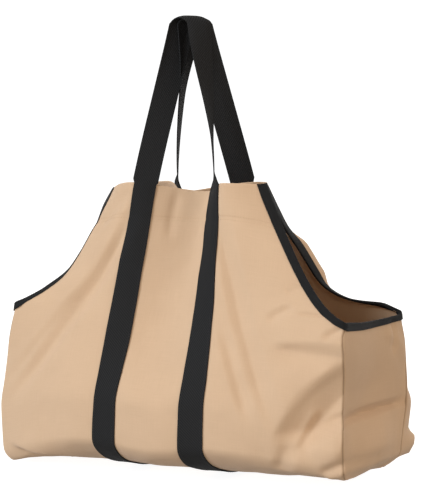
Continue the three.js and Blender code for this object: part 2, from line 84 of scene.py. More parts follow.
# Folds: face (front -1), one end and the other across and along the flat cut, sideways bow,
# reach on either hand, depth (outward +), crispness
FOLDS = [
    (-1, 98, 532, 194, 252, 9, 16, 26, -8, 0.6),
    (-1, 116, 360, 164, 244, 0, 13, 22, -6, 0.6),
    (-1, 314, 354, 200, 202, 20, 60, 18, 6, 0.7),
    (-1, 334, 340, 232, 192, 0, 40, 42, -18, 0.6),
    (-1, 226, 204, 208, 158, 0, 14, 20, -5, 0.5),
    (-1, 262, 260, 236, 206, 0, 9, 9, 3, 0.7),
    (-1, 270, 254, 246, 204, 0, 9, 12, -3, 0.7),
    (-1, 304, 226, 204, 196, 0, 22, 60, 5, 0.3),
    (-1, 308, 250, 252, 212, 0, 12, 40, 7, 0.6),
    (-1, 308, 258, 258, 214, 0, 12, 8, -8, 0.8),
    (-1, 306, 372, 198, 358, 4, 36, 12, 4, 0.7),
    (-1, 306, 350, 206, 346, 0, 13, 30, -5, 0.6),
    (-1, 305, 406, 274, 378, 0, 8, 9, -5, 0.8),
    (-1, 224, 464, 204, 446, 0, 6, 8, -3, 0.7),
    (-1, 264, 417, 232, 413, 0, 6, 8, -3, 0.7),
    (-1, 214, 420, 186, 394, 0, 10, 13, -4, 0.5),
    (-1, -18, 592, -22, 518, 0, 9, 14, -3.5, 0.4),
    (-1, 306, 194, 272, 170, 0, 10, 11, -4, 0.7),
    (-1, 306, 178, 276, 156, 0, 11, 11, 4, 0.6),
    (-1, -98, 530, -256, 272, -13, 20, 30, -11, 0.4),
    (-1, -140, 470, -268, 300, -8, 14, 18, -4, 0.4),
    (-1, -186, 560, -238, 456, 0, 17, 17, -6.5, 0.6),
    (-1, -104, 582, -168, 534, 0, 22, 22, -4, 0.3),
    (-1, -146, 112, -266, 188, 0, 44, 10, 5, 0.6),
    (-1, -146, 98, -262, 170, 0, 12, 30, -9, 0.5),
    (-1, 304, 206, 220, 190, 0, 30, 50, 6, 0.1),
    (1, 262, 168, 258, 262, 0, 44, 44, 15, 0.1),
    (1, 264, 168, 262, 200, 0, 40, 40, 12, 0.1),
    (1, 164, 512, 204, 440, 0, 44, 44, 15, 0.1),
    (1, -110, 520, -200, 260, -12, 40, 40, -7, 0.3),
    (1, 60, 420, 150, 240, 10, 42, 42, -6, 0.3),
    (1, -280, 350, -180, 330, 8, 40, 30, -7, 0.5),
    (1, -104, 528, -196, 256, 0, 18, 30, -10, 0.6),
    (1, -142, 470, -262, 300, 0, 16, 22, -6, 0.5),
    (1, 112, 430, 176, 236, 0, 18, 26, -9, 0.6),
    (1, 128, 330, 152, 226, 0, 16, 18, -6, 0.6),
    (1, -318, 336, -226, 196, 6, 38, 40, -17, 0.6),
    (1, -300, 262, -250, 214, 0, 16, 14, -8, 0.7),
    (1, -306, 370, -200, 356, 0, 14, 20, -6, 0.6),
    (1, -30, 470, -38, 240, 0, 24, 24, -5, 0.4),
]


def smooth(value):
    """Eased step from 0 to 1."""
    value = np.clip(value, 0, 1)
    return value * value * (3 - 2 * value)


def lerp(start, end, share):
    return start + (end - start) * share


def section(name, path):
    """Smooth curve through one column of the section table."""
    at = SECTIONS[:, 0]
    value = SECTIONS[:, SECTION_COLUMNS.index(name)]
    slope = np.diff(value) / np.diff(at)
    before, after = slope[:-1], slope[1:]
    gentle = np.minimum(np.abs(before + after) / 2, 3 * np.minimum(np.abs(before), np.abs(after)))
    inner = np.where(before * after > 0, np.sign(before) * gentle, 0)
    first = slope[0] if name.startswith("y_") else 0
    tangent = np.concatenate([[first], inner, slope[-1:]])
    row = np.clip(np.searchsorted(at, path, side="right") - 1, 0, len(at) - 2)
    length = at[row + 1] - at[row]
    u = (path - at[row]) / length
    ends = (2 * u**3 - 3 * u**2 + 1) * value[row] + (3 * u**2 - 2 * u**3) * value[row + 1]
    pulls = (u**3 - 2 * u**2 + u) * tangent[row] + (u**3 - u**2) * tangent[row + 1]
    return ends + pulls * length


def sweep(share, flare, bend=EDGE_BEND):
    """Share of a way that is partly covered early, as a cut edge that flares."""
    return (1 - flare) * share + flare * (1 - (1 - share) ** bend)


def climb(path):
    """Share of the way from the top of the end panels to the hem."""
    return np.clip((path - GUSSET_PATH) / (HEM_PATH - GUSSET_PATH), 0, 1)


def half_width(path):
    """Half the width of the flat cut."""
    return lerp(HALF_LENGTH, HALF_HEM, sweep(climb(path), EDGE_FLARE))


def panel(x, s):
    """Point of the hanging cloth before its folds: x across the flat cut, s along it, negative on the front."""
    path = np.abs(s)
    face = np.where(s < 0, -1, 1)
    back = smooth(s / 60)
    free = climb(path)
    across = np.abs(x)
    squeeze = section("squeeze", path)
    run = np.clip((across - CREST) / (half_width(path) - CREST), 0, 1)
    valley = -face * section("valley", path)
    crest = np.where(x >= valley, CREST, -CREST)
    rise = smooth((x - valley) / (crest - valley))

    # Along the bag: the sides draw in from the end panels to the hem, the back's right side first.
    left_hem, right_hem, back_right_hem = 134, 136, 106
    left = lerp(section("left", path), left_hem, sweep(free, lerp(0.4, 0.3, back)))
    right = lerp(section("right", path), section("back", path), back)
    drawn_in = sweep(free, lerp(0.15, 0.5, back), lerp(6, 12, back))
    right = lerp(right, lerp(right_hem, back_right_hem, back), drawn_in)
    spread = lerp(run, 1 - (1 - run) ** 1.4, back)
    side_reach = lerp(CREST * squeeze, np.where(x < 0, left, right), spread)
    reach = np.where(across <= CREST, across * squeeze, side_reach)

    # Across the bag: the front is sunk between its straps, the back swells and its right foot is tucked in.
    sunk = 18 * smooth((path - 250) / 120) * (1 - 0.75 * smooth((path - 480) / 118)) * (1 - back)
    y = lerp(section("y_middle", path) - sunk, section("y_crest", path), rise)
    y = lerp(y, section("y_side", path), run ** lerp(1.6, 3.2, back))
    tucked = smooth(path / 150) * (1 - smooth((path - 240) / 150))
    y = y + back * (section("swell", path) * (1 - run**3) - 12 * tucked * run**3.2)
    low = smooth(path / 140) * (1 - smooth((path - 185) / 80))
    y = y - back * (x > 0) * 36 * low * run**3

    # Up the bag: the right edge lifts just under the opening, and the back one dips at the end panel's corner.
    z = lerp(section("z_middle", path), section("z_crest", path), rise)
    early = back * smooth((path - 350) / 60) * (1 - smooth((path - 424) / 26))
    fall = run ** lerp(1.6, 0.9, early)
    z = lerp(z, np.where(x < 0, section("z_left", path), section("z_right", path)), fall)
    top = smooth((path - 330) / 78) * (1 - free) ** 8
    above = np.maximum(path - GUSSET_PATH, 0)
    dip = 12 * np.exp(-((above / 3) ** 2)) - 3 * np.exp(-((above / 10) ** 2))
    dip = smooth((path - 340) / 60) * dip * run**6
    z = z + (x > 0) * lerp(7 * top * run**3, 14 * top * run**4 - dip, back)
    return np.stack([np.sign(x) * reach, face * y, z], axis=-1)


def outward(place, x, s):
    """Outward normal of a cloth surface, from short steps across and along it."""
    half = half_width(np.abs(s)) - 0.01
    across = place(np.minimum(x + 3, half), s) - place(np.maximum(x - 3, -half), s)
    along = place(x, np.minimum(s + 3, HEM_PATH)) - place(x, np.maximum(s - 3, -HEM_PATH))
    normal = np.cross(along, across)
    return normal / np.linalg.norm(normal, axis=-1, keepdims=True)


def fold_height(x, s):
    """How far the folds stand out of the hanging cloth."""
    path = np.abs(s)
    height = np.zeros(np.broadcast(x, s).shape)
    for face, x0, p0, x1, p1, bow, near, far, depth, crisp in FOLDS:
        dx, dp = x1 - x0, p1 - p0
        length = np.hypot(dx, dp)
        along = ((x - x0) * dx + (path - p0) * dp) / length**2
        aside = ((x - x0) * dp - (path - p0) * dx) / length - bow * 4 * along * (1 - along)
        taper = smooth((along + 0.2) / 0.4) * smooth((1.2 - along) / 0.4)
        tent = np.clip(1 - np.abs(aside) / np.where(aside > 0, near, far), 0, 1)
        height += depth * taper * lerp(smooth(tent), tent, crisp) * (np.sign(s) == face)
    return height * smooth(path / 120)


def rumple(x, s):
    """Slight unevenness of cloth that has been handled, calmer where a strap is sewn on."""
    chance = np.random.default_rng(11)
    height = np.zeros(np.broadcast(x, s).shape)
    for wave in np.geomspace(28, 150, 22):
        angle, phase = chance.uniform(0, 2 * np.pi, 2)
        height += 0.0016 * wave * np.sin(2 * np.pi * (x * np.cos(angle) + s * np.sin(angle)) / wave + phase)
    sewn = np.exp(-(((np.abs(x) - STRAP_X) / 24) ** 2))
    return height * (1 - 0.7 * sewn) * smooth(np.abs(s) / 120 + 0.2)


def creased(x, s):
    """Point of the hanging cloth with its folds and the line that the hem's stitching presses in."""
    pressed = 0.7 * np.exp(-(((np.abs(s) - HEM_LINE) / 5) ** 2))
    height = fold_height(x, s) + rumple(x, s) - pressed
    return panel(x, s) + outward(panel, x, s) * height[..., None]


def cloth(x, s):
    """Middle surface of the folded cloth and its outward normal."""
    x, s = np.broadcast_arrays(np.asarray(x, float), np.asarray(s, float))
    return creased(x, s), outward(creased, x, s)


def cut_sheet(name, points, flat, thickness, material, seam_shade=None):
    """A flat grid of cloth, laid in place, with its flat size in metres as its UV map and its real thickness.

    The seam mask, where given, is 1 in the groove of a seam and 0 away from it, kept as an attribute that
    paints shade there.
    """
    rows, columns = points.shape[:2]
    bpy.ops.object.select_all(action="DESELECT")
    bpy.ops.mesh.primitive_grid_add(x_subdivisions=columns - 1, y_subdivisions=rows - 1, size=2)
    sheet = bpy.context.object
    sheet.name = sheet.data.name = name
    mesh = sheet.data
    mesh.vertices.foreach_set("co", ((points - HANG) / 1000).ravel())
    corner = np.zeros(len(mesh.loops), int)
    mesh.loops.foreach_get("vertex_index", corner)
    mesh.uv_layers[0].name = "cloth"
    mesh.uv_layers[0].data.foreach_set("uv", (flat.reshape(-1, 2)[corner] / 1000).ravel())
    if seam_shade is not None:
        mesh.attributes.new("seam_shade", "FLOAT", "POINT").data.foreach_set("value", seam_shade.ravel())
    wall = sheet.modifiers.new("wall", "SOLIDIFY")
    wall.thickness = thickness / 1000
    wall.offset = 0
    bpy.ops.object.modifier_apply(modifier="wall")
    bpy.ops.object.shade_smooth_by_angle(angle=np.radians(50))
    mesh.materials.append(material)
    return sheet


def thread_wave(nodes, links, coordinate, pitch):
    """Sine of a length along the cloth, one swing to each pair of threads."""
    scaled = nodes.new("ShaderNodeMath")
    scaled.operation = "MULTIPLY"
    scaled.inputs[1].default_value = np.pi / pitch
    links.new(coordinate, scaled.inputs[0])
    wave = nodes.new("ShaderNodeMath")
    wave.operation = "SINE"
    links.new(scaled.outputs[0], wave.inputs[0])
    return wave.outputs[0]


def cloth_noise(nodes, links, lengths, scale, detail):
    """Noise over the cloth, with its own fineness across and along the threads."""
    stretch = nodes.new("ShaderNodeMapping")
    stretch.inputs["Scale"].default_value = (*scale, 1)
    links.new(lengths, stretch.inputs["Vector"])
    noise = nodes.new("ShaderNodeTexNoise")
    noise.inputs["Scale"].default_value = 1
    noise.inputs["Detail"].default_value = detail
    links.new(stretch.outputs[0], noise.inputs["Vector"])
    return noise.outputs["Fac"]


def blend_tones(nodes, links, factor, low, high):
    """Colour between two tones."""
    tones = nodes.new("ShaderNodeValToRGB")
    tones.color_ramp.elements[0].position = 0.3
    tones.color_ramp.elements[0].color = (*low, 1)
    tones.color_ramp.elements[1].position = 0.7
    tones.color_ramp.elements[1].color = (*high, 1)
    links.new(factor, tones.inputs[0])
    return tones.outputs[0]


def canvas_material():
    """Beige plain weave: thicker threads here and there, faint mottling, and painted shade that darkens the
    colour in the groove of a seam.
    """
    material = bpy.data.materials.new("beige_canvas")
    material.use_nodes = True
    nodes, links = material.node_tree.nodes, material.node_tree.links
    shader = nodes["Principled BSDF"]
    shader.inputs["Sheen Weight"].default_value = 0.12
    shader.inputs["Sheen Roughness"].default_value = 0.5
    shader.inputs["Specular IOR Level"].default_value = 0.2
    lengths = nodes.new("ShaderNodeUVMap")
    lengths.uv_map = "cloth"
    split = nodes.new("ShaderNodeSeparateXYZ")
    links.new(lengths.outputs[0], split.inputs[0])
    weave = nodes.new("ShaderNodeMath")
    weave.operation = "MULTIPLY"
    links.new(thread_wave(nodes, links, split.outputs[0], 0.0008), weave.inputs[0])
    links.new(thread_wave(nodes, links, split.outputs[1], 0.0009), weave.inputs[1])
    warp = cloth_noise(nodes, links, lengths.outputs[0], (900, 30), 2)
    weft = cloth_noise(nodes, links, lengths.outputs[0], (30, 800), 2)
    mottle = cloth_noise(nodes, links, lengths.outputs[0], (16, 16), 4)
    slub = nodes.new("ShaderNodeMath")
    slub.operation = "ADD"
    links.new(warp, slub.inputs[0])
    links.new(weft, slub.inputs[1])
    slub_half = nodes.new("ShaderNodeMath")
    slub_half.operation = "MULTIPLY"
    slub_half.inputs[1].default_value = 0.5
    links.new(slub.outputs[0], slub_half.inputs[0])
    threads = blend_tones(nodes, links, slub_half.outputs[0], (0.590, 0.418, 0.276), (0.630, 0.450, 0.300))
    patches = blend_tones(nodes, links, mottle, (0.965, 0.96, 0.955), (1, 1, 1))
    colour = nodes.new("ShaderNodeMix")
    colour.data_type = "RGBA"
    colour.blend_type = "MULTIPLY"
    colour.inputs["Factor"].default_value = 1
    links.new(threads, colour.inputs["A"])
    links.new(patches, colour.inputs["B"])
    # Painted shade: the seam mask multiplies the colour down towards a warm brown in a seam's groove.
    seam_shade = nodes.new("ShaderNodeAttribute")
    seam_shade.attribute_name = "seam_shade"
    painted_shade = nodes.new("ShaderNodeMix")
    painted_shade.data_type = "RGBA"
    painted_shade.blend_type = "MULTIPLY"
    painted_shade.inputs["B"].default_value = (0.5, 0.46, 0.42, 1)
    links.new(seam_shade.outputs["Fac"], painted_shade.inputs["Factor"])
    links.new(colour.outputs["Result"], painted_shade.inputs["A"])
    links.new(painted_shade.outputs["Result"], shader.inputs["Base Color"])
    rough = nodes.new("ShaderNodeMapRange")
    rough.inputs["To Min"].default_value = 0.84
    rough.inputs["To Max"].default_value = 0.96
    links.new(slub_half.outputs[0], rough.inputs["Value"])
    links.new(rough.outputs[0], shader.inputs["Roughness"])
    height = nodes.new("ShaderNodeMath")
    height.operation = "MULTIPLY_ADD"
    height.inputs[1].default_value = 0.35
    links.new(weave.outputs[0], height.inputs[0])
    links.new(slub_half.outputs[0], height.inputs[2])
    bump = nodes.new("ShaderNodeBump")
    bump.inputs["Strength"].default_value = 0.35
    bump.inputs["Distance"].default_value = 0.0005
    links.new(height.outputs[0], bump.inputs["Height"])
    links.new(bump.outputs[0], shader.inputs["Normal"])
    return material


canvas = canvas_material()
# Width of the painted shade along a seam's groove.
SEAM_SHADE_WIDTH = 2.2
SEAM_ROUND = 3.4  # how far from a seam the cloth is rounded into it
CANVAS_ROLL = 2.5
TAPED_TRIM = 1.5  # how far the raw edge stays back inside its binding
HEM_TURN = 0.675
CLOSE = np.array([0, 0.8, 1.6, 2.6, 4, 6.5])  # rows and columns next to a seam
turn = np.linspace(0, np.pi, 6)[1:-1]
inside_paths = np.linspace(HEM_PATH, HEM_PATH - HEM_DEPTH, 13)
front_paths = np.concatenate([
    np.arange(0, 130, 6.5), np.arange(130, 404, 3.4), np.arange(404, 430, 2), np.arange(430, 532, 4.6),
    np.arange(532, 558, 2), np.arange(558, HEM_PATH - 2, 4.6), [HEM_PATH],
])
back_paths = np.concatenate([
    np.arange(6.5, 400, 6.5), np.arange(400, 436, 2), np.arange(436, HEM_PATH - 2, 6.5), [HEM_PATH],
])


def cut_rows(paths):
    """Rows from the base to the hem's inner edge: path, drop to the inside, reach over the top, cut length."""
    rows = [(path, 0, 0, path) for path in paths]
    for angle in turn:
        drop, over = HEM_TURN * (1 - np.cos(angle)), HEM_TURN * np.sin(angle)
        rows.append((HEM_PATH, drop, over, HEM_PATH + HEM_TURN * angle))
    for path in inside_paths:
        rows.append((path, 2 * HEM_TURN, 0, 2 * HEM_PATH + HEM_TURN * np.pi - path))
    return np.array(rows)


front_rows, back_rows = cut_rows(front_paths), cut_rows(back_paths)
row_path = np.concatenate([-front_rows[::-1, 0], back_rows[:, 0]])
row_drop = np.concatenate([front_rows[::-1, 1], back_rows[:, 1]])
row_over = np.concatenate([front_rows[::-1, 2], back_rows[:, 2]])
cut_along = np.concatenate([-front_rows[::-1, 3], back_rows[:, 3]])
taped = smooth((np.abs(row_path) - GUSSET_PATH) / 4)
edge = (half_width(np.abs(row_path)) - TAPED_TRIM * taped)[:, None]
near_edge = 1 - CLOSE[::-1] / (HALF_LENGTH - CREST)
left_steps = np.concatenate([np.linspace(0, near_edge[0], 36)[1:], near_edge[1:]])
right_steps = np.concatenate([np.linspace(0, near_edge[0], 58)[1:], near_edge[1:]])
cut_across = np.concatenate([
    -CREST - left_steps[::-1] * (edge - CREST),
    np.tile(np.linspace(-CREST, CREST, 35), (len(row_path), 1)),
    CREST + right_steps * (edge - CREST),
], axis=1)
points, normals = cloth(cut_across, row_path[:, None])
face = np.where(row_path < 0, -1, 1)[:, None]
rising = cloth(cut_across, face * (HEM_PATH - 4))[0]
top = cloth(cut_across, face * HEM_PATH)[0]
rising = (top - rising) / np.linalg.norm(top - rising, axis=-1, keepdims=True)
sewn = 1 - smooth((np.abs(row_path[:, None]) - GUSSET_PATH) / 8)
seam = np.clip((edge - np.abs(cut_across)) / SEAM_ROUND, 0, 1)
rolled = CANVAS_ROLL * (1 - np.sqrt(1 - (1 - seam) ** 2)) * sewn
points = points - normals * (row_drop[:, None] + rolled)[..., None] + rising * row_over[:, None, None]
flat = np.stack([cut_across, np.broadcast_to(cut_along[:, None], cut_across.shape)], axis=-1)
# Painted shade mask: 1 at a side seam, fading to 0 across the shade's width, only where the seam is sewn.
seam_shade = np.clip(1 - (edge - np.abs(cut_across)) / SEAM_SHADE_WIDTH, 0, 1) * sewn
body = cut_sheet("bag_canvas", points, flat, CANVAS, canvas, seam_shade)
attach(body, "root")
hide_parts("main_canvas")

# End panels: two smaller pieces of the same canvas, sewn edge to edge into the front, the base and the back.
# The seams are turned to the inside, so each shows as a narrow groove between two rounded edges.
# Folds: ends across from front to back and up, as shares, reach on either hand, depth (outward +), crispness
GUSSET_FOLDS = {
    -1: [
        (0.5, 0.1, 0.5, 0.35, 0.5, 0.5, 16, 0.1),
        (0.3, 0.6, 0.6, 0.95, 0.4, 0.4, -9, 0.2),
        (0.9, 0.4, 0.1, 0.55, 0.16, 0.16, -6, 0.5),
    ],
    1: [
        (0.5, 0.6, 0.6, 0.85, 0.4, 0.4, -6, 0.2),
        (1.1, 0.405, -0.1, 0.36, 0.3, 0.2, -11, 0.5),
        (1.1, 0.405, -0.1, 0.36, 0.05, 0.025, -9, 1),
        (0.45, 0.12, 0.6, 0.24, 0.36, 0.36, 8, 0.1),
        (0.98, 0.74, 0.8, 0.86, 0.09, 0.09, 5, 0.4),
        (0.86, 0.94, 0.83, 0.78, 0.07, 0.05, -6, 0.6),
        (0.05, 0.06, 0.5, 0.12, 0.07, 0.07, -3, 0.5),
    ],
}
SEAM_GAP = 0.3
FOOT_PATH = 150  # where the front or the back turns into the base
END_SPAN = 204  # between the two side seams
PANEL_ROLL = 2.2
TOP_TUCK = 2.1  # how far the top is tucked in between the canvas's side edges
TOP_SAG = 6.4
CORNER_SAG = 2


def seam_line(s, side, tuck):
    """Line just inside the main canvas's side edge, where an end panel is sewn on."""
    point, normal = cloth(side * half_width(np.abs(s)), s)
    inset = CANVAS / 2 + SEAM_GAP + CANVAS / 2 * np.abs(normal[..., :1])
    inward = normal * [0, -1, -1]
    inward /= np.linalg.norm(inward, axis=-1, keepdims=True)
    return point - normal * inset + inward * tuck[..., None]


def end_panel(side, foot, path):
    """Points of an end panel: foot along the base from front to back, path up the side seams."""
    bottom = seam_line(foot, side, np.full(foot.shape, SEAM_GAP))
    share = (bottom[:, 1] - bottom[0, 1]) / (bottom[-1, 1] - bottom[0, 1])
    tuck = SEAM_GAP + TOP_TUCK * smooth((path - 384) / 24)
    front = seam_line(-path, side, tuck)
    behind = seam_line(path, side, tuck)
    points = lerp(front[:, None], behind[:, None], share[None, :, None])
    points[..., 2] = lerp(front[:, None, 2], behind[:, None, 2], share**3)
    points += (bottom - points[0]) * (1 - smooth((path - FOOT_PATH) / 24))[:, None, None]
    up = (path - FOOT_PATH) / (GUSSET_PATH - FOOT_PATH)
    swell = np.zeros(points.shape[:2])
    for a0, u0, a1, u1, near, far, depth, crisp in GUSSET_FOLDS[side]:
        da, du = a1 - a0, u1 - u0
        along = np.clip(((share - a0) * da + (up[:, None] - u0) * du) / (da**2 + du**2), 0, 1)
        aside = np.hypot(share - a0 - along * da, up[:, None] - u0 - along * du)
        above = (share - a0) * du - (up[:, None] - u0) * da > 0
        tent = np.clip(1 - aside / np.where(above, near, far), 0, 1)
        swell += depth * lerp(smooth(tent), tent, crisp)
    swell *= np.sqrt(np.maximum(0, 4 * share * (1 - share))) * smooth(up / 0.2)[:, None]
    from_side = np.minimum(share, 1 - share)[None] * END_SPAN
    from_seam = np.minimum(from_side, (path - FOOT_PATH)[:, None])
    rounded = np.sqrt(1 - (1 - np.clip(from_seam / SEAM_ROUND, 0, 1)) ** 2)
    corner = 1 - smooth(from_side / 12)
    points[..., 0] += side * (swell - CANVAS / 2 + PANEL_ROLL * rounded)
    sag = TOP_SAG * 4 * share * (1 - share) + CORNER_SAG * corner
    points[..., 2] -= sag * smooth((path - 370) / 38)[:, None]
    return points


foot_half = np.concatenate([np.arange(0, 140, 4.8), FOOT_PATH - CLOSE[::-1]])
foot_line = np.concatenate([-foot_half[:0:-1], foot_half])
side_paths = np.concatenate([
    FOOT_PATH + CLOSE, np.arange(161, 240, 4.8), np.arange(240, 280, 2.4), np.arange(280, GUSSET_PATH - 2, 4.8),
    [GUSSET_PATH],
])
flat = np.stack(np.broadcast_arrays(foot_line[None], side_paths[:, None]), axis=-1)
from_seam = np.minimum(FOOT_PATH - np.abs(foot_line)[None], (side_paths - FOOT_PATH)[:, None])
# Painted shade mask: 1 at the end panel's seams, fading to 0 across the shade's width.
seam_shade = np.clip(1 - from_seam / SEAM_SHADE_WIDTH, 0, 1)
for side, name, node in ((-1, "end_panel_left", "gusset_left"), (1, "end_panel_right", "gusset_right")):
    panel_sheet = cut_sheet(name, end_panel(side, foot_line, side_paths), flat, CANVAS, canvas, seam_shade)
    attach(panel_sheet, "root")
    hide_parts(node)

# Handles: two lengths of black webbing, each sewn up a face, free from the hem to the crown, and down again.
# They nest over one point, where the bag is carried, and meet end to end under the base.
WEBBING = 1.8  # thickness
WEBBING_WIDTH = 40
WEBBING_LIFT = CANVAS / 2 + SEAM_GAP  # from the canvas's middle to the webbing's underside
CROWN = np.array([-9, 0, 697])
BAR_ANGLE = np.radians(47)
CROWN_WRAP = np.radians(70)
CROWN_CUP = 3
UP = np.array([0, 0, 1])


def webbing_material():
    """Black webbing: slanting twill ribs over fine threads both ways, nearly matt, with painted highlights on
    the ribs' raised tops.
    """
    material = bpy.data.materials.new("black_webbing")
    material.use_nodes = True
    nodes, links = material.node_tree.nodes, material.node_tree.links
    shader = nodes["Principled BSDF"]
    shader.inputs["Specular IOR Level"].default_value = 0.05
    lengths = nodes.new("ShaderNodeUVMap")
    lengths.uv_map = "cloth"
    split = nodes.new("ShaderNodeSeparateXYZ")
    links.new(lengths.outputs[0], split.inputs[0])
    slant = nodes.new("ShaderNodeMath")
    slant.operation = "ADD"
    links.new(split.outputs[0], slant.inputs[0])
    links.new(split.outputs[1], slant.inputs[1])
    twill = thread_wave(nodes, links, slant.outputs[0], 0.0021)
    ribs = thread_wave(nodes, links, split.outputs[0], 0.0006)
    picks = thread_wave(nodes, links, split.outputs[1], 0.0007)
    fine = nodes.new("ShaderNodeMath")
    fine.operation = "MULTIPLY"
    links.new(ribs, fine.inputs[0])
    links.new(picks, fine.inputs[1])
    height = nodes.new("ShaderNodeMath")
    height.operation = "MULTIPLY_ADD"
    height.inputs[1].default_value = 0.4
    links.new(fine.outputs[0], height.inputs[0])
    links.new(twill, height.inputs[2])
    # Painted highlight: the raised tops of the twill ribs and threads take the lighter tone, the hollows the
    # darker; it also sets the roughness.
    ridge_highlight = nodes.new("ShaderNodeMapRange")
    ridge_highlight.inputs["From Min"].default_value = -1.2
    ridge_highlight.inputs["From Max"].default_value = 1.2
    links.new(height.outputs[0], ridge_highlight.inputs["Value"])
    colour = blend_tones(nodes, links, ridge_highlight.outputs[0], (0.0145, 0.015, 0.016), (0.0235, 0.024, 0.025))
    links.new(colour, shader.inputs["Base Color"])
    rough = nodes.new("ShaderNodeMapRange")
    rough.inputs["To Min"].default_value = 0.92
    rough.inputs["To Max"].default_value = 0.8
    links.new(ridge_highlight.outputs[0], rough.inputs["Value"])
    links.new(rough.outputs[0], shader.inputs["Roughness"])
    bump = nodes.new("ShaderNodeBump")
    bump.inputs["Strength"].default_value = 0.35
    bump.inputs["Distance"].default_value = 0.0003
    links.new(height.outputs[0], bump.inputs["Height"])
    links.new(bump.outputs[0], shader.inputs["Normal"])
    return material


def turned(angle):
    """Level direction at an angle from the bag's length."""
    return np.array([np.cos(angle), np.sin(angle), 0])


def unit(vector):
    return vector / np.linalg.norm(vector)


def ribbon_row(centre, tangent, wide, shares, cup):
    """Row across a free stretch of webbing, its edges bent down by the cup."""
    across = unit(wide - wide.dot(tangent) * tangent)
    outer = np.cross(tangent, across)
    return centre + shares[:, None] * WEBBING_WIDTH * across - (2 * shares[:, None]) ** 4 * cup * outer


def free_leg(hem_row, lower_row, crown_point, crown_tangent, crown_wide, shares, cup, edge_on):
    """Free stretch from the hem to the crown, twisting evenly or held edge-on part of the way."""
    start = hem_row.mean(axis=0)
    chord = crown_point - start
    rise = np.linalg.norm(chord)
    leave = lerp(unit(start - lower_row.mean(axis=0)), unit(chord), 0.6)
    arrive = lerp(crown_tangent, unit(chord), 0.7)
    wide = hem_row[-1] - hem_row[0]
    from_angle = np.arctan2(wide[1], wide[0])
    to_angle = np.arctan2(crown_wide[1], crown_wide[0])
    twist = np.arctan2(np.sin(to_angle - from_angle), np.cos(to_angle - from_angle))

    def place(u):
        ends = start * (2 * u**3 - 3 * u**2 + 1) + crown_point * (3 * u**2 - 2 * u**3)
        return ends + rise * (leave * (u**3 - 2 * u**2 + u) + arrive * (u**3 - u**2))

    rows = []
    for v in np.linspace(0, 1, 56)[1:-1]:
        tangent = unit(place(v + 0.01) - place(v - 0.01))
        angle = from_angle + twist * v
        if edge_on:
            rest_angle, drift, leave_at, power = edge_on
            angle = lerp(from_angle, np.radians(rest_angle), smooth(v / 0.08)) + drift * max(v - 0.1, 0)
            angle = lerp(angle, from_angle + twist, np.clip((v - leave_at) / (1 - leave_at), 0, 1) ** power)
        rows.append(ribbon_row(place(v), tangent, turned(angle), shares, cup * smooth((v - 0.5) / 0.5)))
    return rows


def strap_drift(side, s):
    """How far to the right of a straight line the webbing is sewn."""
    half_way_up_front = 4.5 * np.exp(-(((s + 285) / 80) ** 2))
    top_of_back_left = 10 * smooth((s - 470) / 128) * (side < 0)
    return half_way_up_front + top_of_back_left


def webbing_points(face, radius, first_shift, last_shift, edge_on):
    """Rows along one handle, from the base's middle over the crown and back to the base's middle."""
    way = -face
    shares = np.linspace(-0.5, 0.5, 11)
    stops = STRAP_X - shares * WEBBING_WIDTH
    paths = np.concatenate([[0.4], np.arange(5, HEM_PATH - 2, 5), [HEM_PATH]])
    lift = WEBBING_LIFT + WEBBING / 2
    sewn = []
    for side in (-way, way):
        s = face * paths[:, None]
        point, normal = cloth(side * stops[None] + strap_drift(side, s), s)
        sewn.append(point + normal * lift)
    first, last = sewn
    bar = way * turned(BAR_ANGLE)
    over = way * turned(BAR_ANGLE - np.pi / 2)
    arch = []
    for angle in np.linspace(-CROWN_WRAP, CROWN_WRAP, 25):
        shift = lerp(first_shift, last_shift, (angle + CROWN_WRAP) / (2 * CROWN_WRAP))
        centre = CROWN + bar * shift + radius * (over * np.sin(angle) + UP * np.cos(angle))
        arch.append((centre, over * np.cos(angle) - UP * np.sin(angle)))
    rows = list(first)
    rows += free_leg(first[-1], first[-4], *arch[0], bar, shares, CROWN_CUP, None)
    rows += [ribbon_row(centre, tangent, bar, shares, CROWN_CUP) for centre, tangent in arch]
    rows += free_leg(last[-1], last[-4], arch[-1][0], -arch[-1][1], bar, shares, -CROWN_CUP, edge_on)[::-1]
    rows += list(last[::-1])
    return np.array(rows), shares


webbing = webbing_material()
# Crown: radius, and the shift along the bar at its first and last leg.
# Edge-on stretch of the last leg: angle in degrees, drift, share of the leg where it ends, how late it turns.
for name, node, face, crown, edge_on in (
    ("strap_front", "handle_front", -1, (16.4, -7, 12.5), (116, -0.3, 0.28, 1.3)),
    ("strap_back", "handle_back", 1, (14, -15, -5), (-64, -0.4, 0.56, 2)),
):
    points, shares = webbing_points(face, *crown, edge_on)
    step = np.linalg.norm(np.diff(points.mean(axis=1), axis=0), axis=1)
    along = np.concatenate([[0], np.cumsum(step)])
    flat = np.stack(np.broadcast_arrays(shares[None] * WEBBING_WIDTH, along[:, None]), axis=-1)
    strap = cut_sheet(name, points, flat, WEBBING, webbing)
    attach(strap, "root")
    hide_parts(node)

# Binding: black tape folded over each cut-away side, round the end panel's top and up the other side.
# One row of black thread holds both its legs to the canvas.
TAPE = 0.8  # thickness
TAPE_WIDTH = 12
TAPE_LIFT = 0.4 + TAPE / 2
TAPE_SWELL = 1.8  # how far it stands off where seams meet under it
CORNER_SWELL = 1.2
TAPE_STEP = 2.4
FOLD_REACH = 1.3  # how far the fold stands past the cloth's edge
LEG_POINTS = 5
FOLD_COLUMN = LEG_POINTS + 2  # the middle of the fold over the edge


